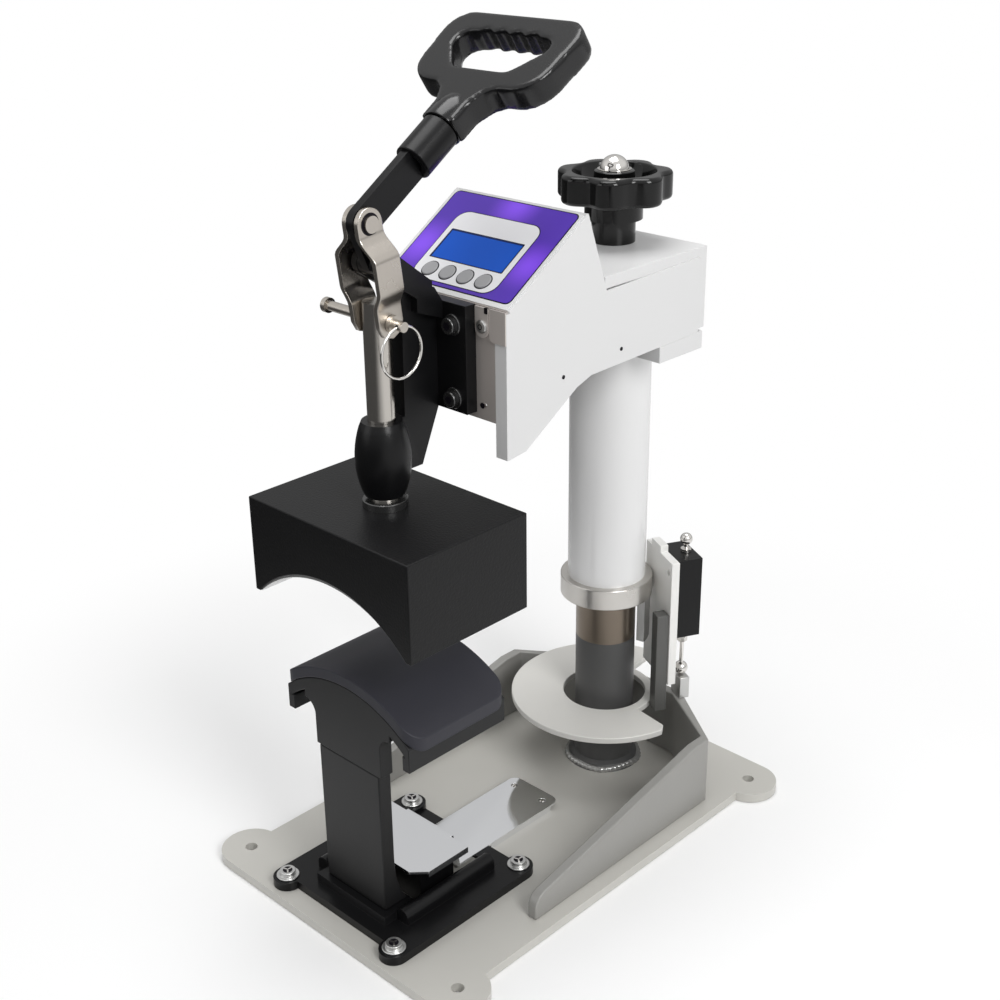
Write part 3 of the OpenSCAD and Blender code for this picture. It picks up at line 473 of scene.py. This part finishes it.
# %% The grip
SKIN_CELL = 1.5
MELTS = 26
grip = eased_copy("hand_grip", 0.1)
grip.modifiers.clear()
skin = grip.modifiers.new("even_skin", "REMESH")
skin.mode = "VOXEL"
skin.voxel_size = SKIN_CELL*MM
skin.use_smooth_shade = True
melt = grip.modifiers.new("moulded_edges", "SMOOTH")
melt.factor = 0.5
melt.iterations = MELTS
print("grip modifiers", [m.name for m in grip.modifiers])

# %% [markdown]
# The rest of the scene adds thin plates and turned pieces. A plate is a bevelled face that is
# extruded, so a print or a sheet has real edges from any side. A turned piece is half an outline
# that is spun round its own axis, like work in a lathe, and then set facing the way it belongs.

# %% Helpers for plates and turned pieces
FRONT, UP = (0, -1, 0), (0, 0, 1)


def piece_from(work, name, material, place=Matrix()):
    """Turns a bmesh into a placed object."""
    bmesh.ops.transform(work, matrix=place, verts=work.verts)
    bmesh.ops.recalc_face_normals(work, faces=work.faces)
    mesh = bpy.data.meshes.new(name)
    work.to_mesh(mesh)
    work.free()
    mesh.materials.append(material)
    smooth_by_angle(mesh)
    piece = bpy.data.objects.new(name, mesh)
    bpy.context.collection.objects.link(piece)
    return piece


def plate(corners, rounded, radius, rise):
    """A flat face, its corners of the listed numbers rounded, extruded by the vector rise."""
    work = bmesh.new()
    face = work.faces.new([work.verts.new(corner) for corner in corners])
    if radius:
        bmesh.ops.bevel(work, geom=[face.verts[k] for k in rounded], offset=radius*MM, segments=8,
                        affect="VERTICES", profile=0.5, material=-1)
    grown = bmesh.ops.extrude_face_region(work, geom=list(work.faces))
    moved = [v for v in grown["geom"] if isinstance(v, bmesh.types.BMVert)]
    bmesh.ops.translate(work, vec=rise, verts=moved)
    return work


def facing(x, y, z, toward):
    """A place in millimetres from the post, with its Z turned to toward."""
    turn = Vector(toward).to_track_quat("Z", "Y").to_matrix().to_4x4()
    return Matrix.Translation(from_post(x, y, z)) @ turn


def turned(points, place, name, material, steps=40):
    """Spins an outline of (radius, height) in millimetres round Z."""
    work = bmesh.new()
    line = [work.verts.new((r*MM, 0, z*MM)) for r, z in points]
    edges = [work.edges.new(pair) for pair in zip(line, line[1:])]
    bmesh.ops.spin(work, geom=line + edges, axis=UP, cent=(0, 0, 0), angle=math.tau, steps=steps,
                   use_merge=True, use_duplicate=False)
    bmesh.ops.remove_doubles(work, verts=work.verts, dist=SAME_PLACE/2)
    return piece_from(work, name, material, place)


# %% [markdown]
# The panel's violet isn't even: three soft pale spots of painted sheen, painted reflections on the
# glossy film, lie on it. A picture of them would need an image file, so they are mixed over the
# film's colour by the distance from each spot's place on the sloping face.

# %% A painted sheen
SLOPE_Y, SLOPE_Z = -0.205, 0.527
PEAK_Y, PEAK_Z = -0.1165, 0.585
SLOPE = math.atan2(PEAK_Z - SLOPE_Z, PEAK_Y - SLOPE_Y)
SLOPE_FOOT = Matrix.Translation(Vector((0, POST_Y + SLOPE_Y, SLOPE_Z)))
ON_SLOPE = SLOPE_FOOT @ Matrix.Rotation(SLOPE, 4, "X")
SHEEN_TONE = (0.24, 0.08, 0.86)
SHEEN_SPOTS = ((-57, 42, 34), (57, 44, 30), (4, 96, 30))


def add_painted_sheen(material, tone, spots):
    """Paints a soft spot of painted sheen over a material's colour for each (across, up, radius)."""
    tree = material.node_tree
    colour = tree.nodes["Principled BSDF"].inputs["Base Color"]
    coords = tree.nodes.new("ShaderNodeTexCoord")
    for across, up, radius in spots:
        reach = tree.nodes.new("ShaderNodeVectorMath")
        reach.operation = "DISTANCE"
        tree.links.new(coords.outputs["Object"], reach.inputs[0])
        reach.inputs[1].default_value = ON_SLOPE @ Vector((across*MM, up*MM, 0))
        fall = map_range(tree, reach.outputs["Value"], (0, radius*MM), (1, 0), smooth=True)
        mix = tree.nodes.new("ShaderNodeMix")
        mix.data_type = "RGBA"
        mix.inputs["B"].default_value = (*tone, 1)
        tree.links.new(fall, mix.inputs["Factor"])
        tree.links.new(colour.links[0].from_socket, mix.inputs["A"])
        tree.links.new(mix.outputs["Result"], colour)


add_painted_sheen(film_violet, SHEEN_TONE, SHEEN_SPOTS)
print("glow spots", len(SHEEN_SPOTS))

# %% [markdown]
# The control panel is one printed film on the sloping face: violet with a dark outline, a white
# window with round corners in the middle, and inside that the display. Each layer is a very thin
# plate and stands a little higher than the one before. The display lies in a frame, so a darker
# strip along its top and left is the frame's shade.

# %% The printed film
PANEL_FACE = 1.0
GLASS = (-39, 31.3, 39, 61.8)
SHADE_TOP = 60.4
SHADE_LEFT = -37.9


def film_layer(name, box, radius, thick, material, slot_name):
    """A plate on the panel's face, over a box (left, bottom, right, top) in millimetres."""
    x0, y0, x1, y1 = box
    corners = [(x*MM, y*MM, PANEL_FACE*MM) for x, y in ((x0, y0), (x1, y0), (x1, y1), (x0, y1))]
    work = plate(corners, range(4), radius, (0, 0, thick*MM))
    show(piece_from(work, name, material, ON_SLOPE), "arm", slot_name)


film_layer("film_outline", (-67.5, 4.5, 67.5, 102.5), 5, 0.15, dark_print_and_shade, "panel_film")
film_layer("film_violet_field", (-66.5, 5.5, 66.5, 101.5), 4.5, 0.30, film_violet, "panel_film")
film_layer("film_window_line", (-46, 8.3, 46, 83.2), 12, 0.42, dark_print_and_shade, "panel_film")
film_layer("film_window", (-45.2, 9.1, 45.2, 82.4), 11.3, 0.54, film_white, "panel_film")
film_layer("display_edge", (-40, 30.5, 40, 62.5), 0.8, 0.62, dark_print_and_shade, "lcd")
film_layer("display_glass", GLASS, 0.5, 0.80, lcd_blue, "lcd")
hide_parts("display_window")
left, bottom, right, top = GLASS
film_layer("display_shade_top", (left, SHADE_TOP, right, top), 0, 0.86, lcd_shade, "lcd")
film_layer("display_shade_left", (left, bottom, SHADE_LEFT, SHADE_TOP), 0, 0.86, lcd_shade, "lcd")
print("film on a slope of", round(math.degrees(SLOPE), 1), "degrees")

# %% [markdown]
# Four kinds of turned piece come first. A round neck runs from the lever's sleeve into the grip, a
# flat ring lies where the plunger enters the heat box, a thin dark ring is painted shade in the gap
# round the link pin in each link's eye, and a pin stands on either side of the pad bracket's tongue.

# %% Neck, flange, eyes and pins
LEVER_LEAN = math.radians(56)
LEVER_WAY = (0, math.sin(LEVER_LEAN), math.cos(LEVER_LEAN))
HEAD_Y = -273
BOX_TOP = 371
LINK_Y, LINK_Z, EYE_X = -283, 597, 8.6
NECK_FROM = 98.6
BASE_TOP = 9
TONGUE_X, TONGUE_Y = 18, -110

neck_foot = facing(0, LINK_Y + NECK_FROM*LEVER_WAY[1], LINK_Z + NECK_FROM*LEVER_WAY[2], LEVER_WAY)
neck_outline = [(15.2, 0), (16.0, 0.5), (16.2, 1.5), (15.6, 16), (14.0, 24), (9.5, 29), (0, 31)]
neck = turned(neck_outline, neck_foot, "grip_neck", grip_black, 64)
show(neck, "handle", "black_plastic")
flange = turned([(11.2, 6.4), (17.4, 6.4), (18.1, 5.8), (18.2, 0.2)],
                facing(0, HEAD_Y, BOX_TOP, UP), "plunger_flange_ring", dark_steel, 64)
show(flange, "head", "black_paint")
for side in (-1, 1):
    eye = facing(side*EYE_X, LINK_Y, LINK_Z, (side, 0, 0))
    # The dark ring is painted shade in the gap round the link pin.
    shade = turned([(6.4, 0.2), (8.4, 0.2), (8.4, 0)], eye, f"link_eye_shade_{side + 1}", dark_print_and_shade)
    show(shade, "links", "black_paint")
    pin = turned([(0, 7.1), (2.0, 6.9), (2.8, 6.2), (3.0, 0), (0, 0)],
                 facing(side*TONGUE_X, TONGUE_Y, BASE_TOP, UP), f"tongue_pin_{side + 1}",
                 chrome_ball, 32)
    show(pin, "base", "zinc")
print("neck leans", round(math.degrees(LEVER_LEAN)), "degrees")

# %% [markdown]
# Screws tell the eye how big a machine is. The casting's four bolts get a washer and a dark hexagon,
# painted shade in the socket, which is an outline spun in only six steps. The four screws of the
# stand's foot get a dark disc, painted shade in a round recess, with three spokes, each a stretched
# cube. Cutting real sockets would show no more than this.

# %% Bolts and screws
MOUNT_BOLTS = ((-26, 452), (26, 452), (-26, 511), (26, 511))
MOUNT_FACE, BOLT_FACE = -220, -226.5
FOOT_SCREWS = ((-69, -346), (69, -346), (-69, -197), (69, -197))
FOOT_TOP = BASE_TOP + 8 + 1.6 + 4.1  # bracket, washer and head
SPOKE_TURN = 0.4

for i, (x, z) in enumerate(MOUNT_BOLTS):
    washer = turned([(8.6, 0), (8.6, 1.0), (8.2, 1.5), (6.6, 1.5), (6.6, 0)],
                    facing(x, MOUNT_FACE, z, FRONT), f"mount_washer_{i}", dark_steel)
    show(washer, "arm", "black_paint")
    # The dark hexagon is painted shade in the bolt's socket.
    socket = turned([(0, 0.1), (3.6, 0.1), (3.6, 0)],
                    facing(x, BOLT_FACE, z, FRONT), f"mount_socket_shade_{i}", dark_print_and_shade, 6)
    show(socket, "arm", "black_paint")
for i, (x, y) in enumerate(FOOT_SCREWS):
    head = facing(x, y, FOOT_TOP, UP)
    # The dark disc is painted shade in the screw's recess.
    recess_shade = turned([(0, 0.12), (4.2, 0.12), (4.2, 0)], head, f"foot_recess_shade_{i}", dark_print_and_shade, 32)
    show(recess_shade, "base", "zinc")
    spokes = bmesh.new()
    out = Matrix.Translation((2.1*MM, 0, 0.2*MM)) @ Matrix.Diagonal((4.2*MM, 1.3*MM, 0.3*MM, 1))
    for k in range(3):
        turn = Matrix.Rotation(k*math.tau/3 + SPOKE_TURN, 4, "Z")
        bmesh.ops.create_cube(spokes, size=1, matrix=turn @ out)
    show(piece_from(spokes, f"foot_spokes_{i}", chrome_ball, head), "base", "zinc")
print("bolts and screws", len(MOUNT_BOLTS) + len(FOOT_SCREWS))

# %% [markdown]
# The front plate, white steel in painted shade that looks taupe, is held by a pan screw through a
# tab with a round end, and beside it a second sheet, white steel in painted shade too, laps over the
# housing's corner. Both hang from the panel's lower edge, with only some of their corners rounded. A
# dark plate in the tab's notch, a dark ring in the screw's drive and a dark disc in the plate's
# small hole are painted shade that makes them look deep.

# %% The tab, the lap and their screw
FRONT_Y = -209
FRONT_TOP = 527
TAB_X, TAB_SCREW_Z = 48, FRONT_TOP - 15
TAB_THICK, PAN_FACE = 1.6, 3.5


def front_tab(name, x0, x1, drop, rounded, radius, thick, material):
    """A plate hanging from the panel's lower edge, with its listed lower corners rounded."""
    outline = ((x0, -drop), (x1, -drop), (x1, 0), (x0, 0))
    work = plate([(x*MM, 0, z*MM) for x, z in outline], rounded, radius, (0, -thick*MM, 0))
    place = Matrix.Translation(from_post(0, FRONT_Y, FRONT_TOP))
    show(piece_from(work, name, material, place), "arm", "taupe")


front_tab("panel_tab", 40.6, 54.4, 24, (0, 1), 6.5, TAB_THICK, lap_white_painted_shade)
front_tab("corner_lap", 54.9, 71.8, 26, (0,), 4.5, 1.0, lap_white_painted_shade)
# A dark plate is painted shade in the tab's notch.
front_tab("tab_notch_shade", 50.5, 54.2, 4.5, (0, 1), 0.8, 1.7, dark_print_and_shade)
pan = turned([(0, 2.0), (2.4, 2.2), (4.4, 1.8), (5.2, 0.9), (5.3, 0)],
             facing(TAB_X, FRONT_Y - TAB_THICK, TAB_SCREW_Z, FRONT), "tab_screw", zinc_plate)
show(pan, "arm", "zinc")
# A dark ring is painted shade in the screw's drive.
groove_shade = turned([(1.6, 0), (1.6, 0.5), (2.2, 0.5), (2.2, 0)],
                facing(TAB_X, FRONT_Y - PAN_FACE, TAB_SCREW_Z, FRONT), "tab_screw_groove_shade",
                dark_print_and_shade)
show(groove_shade, "arm", "zinc")
# A dark disc is painted shade in the plate's small hole.
hole_shade = turned([(0, 0.25), (2.4, 0.25), (2.4, 0)],
              facing(HOLE_X, FRONT_Y, HOLE_Z, FRONT), "plate_hole_shade", dark_print_and_shade, 32)
show(hole_shade, "arm", "black_paint")
print("tab and lap hang at y", FRONT_Y, "from z", FRONT_TOP)

# %% [markdown]
# Each key is a low round cap that sits in a dark printed ring. Both are outlines spun round the
# key's own axis. The cap goes down into the panel's hole and rides on the key's body, so it sinks
# when the key is pressed.

# %% The keys and their printed rings
KEY_PITCH, KEY_UP = 19.6, 19.5
for i in range(4):
    across = KEY_PITCH*(i - 1.5)
    middle = ON_SLOPE @ Matrix.Translation((across*MM, KEY_UP*MM, PANEL_FACE*MM))
    cap = turned([(0, 1.75), (6.5, 1.6), (7.0, 1.1), (7.0, -1.4), (0, -1.4)],
                 middle, f"key_cap_{i}", key_grey, 48)
    show(cap, f"key_{i + 1}", "key_grey", f"button_{i + 1}")
    ring = turned([(7.0, 0.5), (7.0, 0.68), (7.9, 0.68), (7.9, 0.5)],
                  middle, f"key_ring_{i}", dark_print_and_shade, 48)
    show(ring, "arm", "panel_film")
print("keys", KEY_PITCH, "mm apart")

# %% [markdown]
# Each side sheet has two small holes for its fixing screws. Cutting them would disturb a large flat
# face, which then shades badly, so each is a flat dark disc of painted shade on the sheet.

# %% Side sheet details
SIDE_X = 72
SIDE_HOLES = ((-73.5, 466), (-144.5, 460))
for i, (y, z) in enumerate(SIDE_HOLES):
    for side in (-1, 1):
        # Each dark disc is painted shade in a screw hole.
        screw_hole_shade = turned([(0, 0.25), (1.7, 0.25), (1.7, 0)], facing(side*SIDE_X, y, z, (side, 0, 0)),
                     f"side_screw_hole_shade_{i}_{side + 1}", dark_print_and_shade, 20)
        show(screw_hole_shade, "arm", "black_paint")
print("side holes", 2*len(SIDE_HOLES))

# %% [markdown]
# The weld that joins post and plate is a wavy bead. A torus would look like a rubber ring. A circle
# spun round the post leaves points enough to move, and sine waves on them give the ripples that a
# welder's hand leaves, slow and wide ones and fast, fine ones.

# %% The weld bead
BEAD_RING, BEAD_R, BEAD_Z = 34.5, 3.0, 11.3
DRIFTS, DRIFT_SIZE = 5, 0.03
RIPPLES, RIPPLE_SIZE = 46, 0.012
bead = bmesh.new()
upright = Matrix.Translation((BEAD_RING*MM, 0, 0)) @ Matrix.Rotation(math.pi/2, 4, "X")
start = bmesh.ops.create_circle(bead, segments=12, radius=BEAD_R*MM, matrix=upright)
bmesh.ops.spin(bead, geom=start["verts"] + list(bead.edges), axis=UP, cent=(0, 0, 0),
               angle=math.tau, steps=180, use_merge=True)
bmesh.ops.remove_doubles(bead, verts=bead.verts, dist=SAME_PLACE)
for v in bead.verts:
    turn = math.atan2(v.co.y, v.co.x)
    swell = 1 + RIPPLE_SIZE*math.sin(turn*RIPPLES) + DRIFT_SIZE*math.sin(turn*DRIFTS)
    v.co.x *= swell
    v.co.y *= swell
weld = piece_from(bead, "post_weld", weld_grey, Matrix.Translation(from_post(0, 0, BEAD_Z)))
show(weld, "base", "grey_steel")

# %% [markdown]
# The machine stands on a pale floor. Close by, the floor is plain paint and takes the soft shadows.
# Further away it fades to the backdrop's own white, as on a studio sweep, so no horizon shows. To
# all but the camera that white is weaker on the left and in front than on the right and behind, so
# that glossy fronts stay darker than glossy sides.

# %% The floor
FLOOR_SIZE, FLOOR_DROP = 30, 0.5
FADE_FROM, FADE_TO = 0.28, 0.75
GLOW_REACH = 0.9
GLOW_WEAK, GLOW_STRONG = 0.08, 0.85

floor_mesh = bmesh.new()
bmesh.ops.create_grid(floor_mesh, x_segments=1, y_segments=1, size=FLOOR_SIZE)
floor_paint = bpy.data.materials.new("pale_floor")
below = Matrix.Translation((0, 0, -FLOOR_DROP*MM))
floor = piece_from(floor_mesh, "floor", floor_paint, below)
floor_paint.use_nodes = True
ground = floor_paint.node_tree
paint = ground.nodes["Principled BSDF"]
paint.inputs["Base Color"].default_value = (0.93, 0.93, 0.93, 1)
paint.inputs["Roughness"].default_value = 0.7
spot = ground.nodes.new("ShaderNodeTexCoord")
away = ground.nodes.new("ShaderNodeVectorMath")
away.operation = "LENGTH"
ground.links.new(spot.outputs["Object"], away.inputs[0])
fade = map_range(ground, away.outputs["Value"], (FADE_FROM, FADE_TO), (0, 1), smooth=True)
sides = ground.nodes.new("ShaderNodeSeparateXYZ")
ground.links.new(spot.outputs["Object"], sides.inputs[0])
right_and_back = math_node(ground, "ADD", sides.outputs["X"], sides.outputs["Y"])
glow = map_range(ground, right_and_back, (-GLOW_REACH, GLOW_REACH), (GLOW_WEAK, GLOW_STRONG))
seen_by = ground.nodes.new("ShaderNodeLightPath")
white = ground.nodes.new("ShaderNodeEmission")
shown_white = math_node(ground, "MAXIMUM", glow, seen_by.outputs["Is Camera Ray"])
ground.links.new(shown_white, white.inputs["Strength"])
sweep = ground.nodes.new("ShaderNodeMixShader")
ground.links.new(fade, sweep.inputs["Fac"])
ground.links.new(paint.outputs[0], sweep.inputs[1])
ground.links.new(white.outputs[0], sweep.inputs[2])
ground.links.new(sweep.outputs[0], ground.nodes["Material Output"].inputs["Surface"])
print("floor fades from", FADE_FROM, "to", FADE_TO, "m")

# %% [markdown]
# The world does three jobs at once, told apart by the Light Path node. To the camera it is the
# white backdrop. As a lamp it is weak, so the paint keeps its colour. Reflections see a wall that
# is grey near the floor and brighter above, which gives metal its bands, and a darker flag at the
# back on the left keeps glossy tops dark.

# %% The world
LAMP_STRENGTH = 0.39
WALL_HEIGHTS, WALL_TONES = (-0.05, 0.38), (0.28, 0.8)
FLAG_WAYS, FLAG_TONES = (0.3, 1.2), (1.0, 0.70)

world = bpy.data.worlds.new("studio")
bpy.context.scene.world = world
world.use_nodes = True
sky = world.node_tree
dim = sky.nodes["Background"]
dim.inputs["Color"].default_value = (1, 1, 1, 1)
dim.inputs["Strength"].default_value = LAMP_STRENGTH
bright = sky.nodes.new("ShaderNodeBackground")
bright.inputs["Color"].default_value = (1, 1, 1, 1)
path = sky.nodes.new("ShaderNodeLightPath")
toward = sky.nodes.new("ShaderNodeTexCoord")
split = sky.nodes.new("ShaderNodeSeparateXYZ")
sky.links.new(toward.outputs["Generated"], split.inputs[0])
wall = map_range(sky, split.outputs["Z"], WALL_HEIGHTS, WALL_TONES)
back_and_left = math_node(sky, "SUBTRACT", split.outputs["Y"], split.outputs["X"])
flag = map_range(sky, back_and_left, FLAG_WAYS, FLAG_TONES)
mirrored = math_node(sky, "MULTIPLY", wall, flag)
strength = math_node(sky, "MAXIMUM", mirrored, path.outputs["Is Camera Ray"])
sky.links.new(strength, bright.inputs["Strength"])
seen = math_node(sky, "MAXIMUM", path.outputs["Is Camera Ray"], path.outputs["Is Glossy Ray"])
seen = math_node(sky, "MAXIMUM", seen, path.outputs["Is Transmission Ray"])
mix = sky.nodes.new("ShaderNodeMixShader")
sky.links.new(seen, mix.inputs["Fac"])
sky.links.new(dim.outputs[0], mix.inputs[1])
sky.links.new(bright.outputs[0], mix.inputs[2])
sky.links.new(mix.outputs[0], sky.nodes["World Output"].inputs["Surface"])
print("world", LAMP_STRENGTH, "as a lamp and", WALL_TONES, "in reflections")

# %% [markdown]
# Three soft lamps light the machine: a large key from the right, a weak fill from the front left
# and a wide lamp above. The wider a lamp, the softer its shadows, so all three are about a metre
# wide. The Standard view keeps the whites as bright as the photograph's.

# %% The lamps
def soft_lamp(name, place, target, size, power):
    """A rectangular lamp at place, turned to target, with its size in metres and power in watts."""
    lamp = bpy.data.objects.new(name, bpy.data.lights.new(name, "AREA"))
    lamp.data.shape = "RECTANGLE"
    lamp.data.size, lamp.data.size_y = size
    lamp.data.energy = power
    look = (Vector(place) - Vector(target)).to_track_quat("Z", "Y").to_matrix().to_4x4()
    lamp.matrix_world = Matrix.Translation(place) @ look
    bpy.context.collection.objects.link(lamp)


soft_lamp("key", place=(2.0, -0.5, 1.7), target=(0, 0, 0.3), size=(0.9, 1.2), power=33)
soft_lamp("fill", place=(-1.0, -1.9, 1.0), target=(0, 0, 0.3), size=(1.2, 1.0), power=4)
soft_lamp("top", place=(-0.2, 0.1, 2.4), target=(0, 0, 0), size=(1.4, 1.4), power=27)
bpy.context.scene.view_settings.view_transform = "Standard"
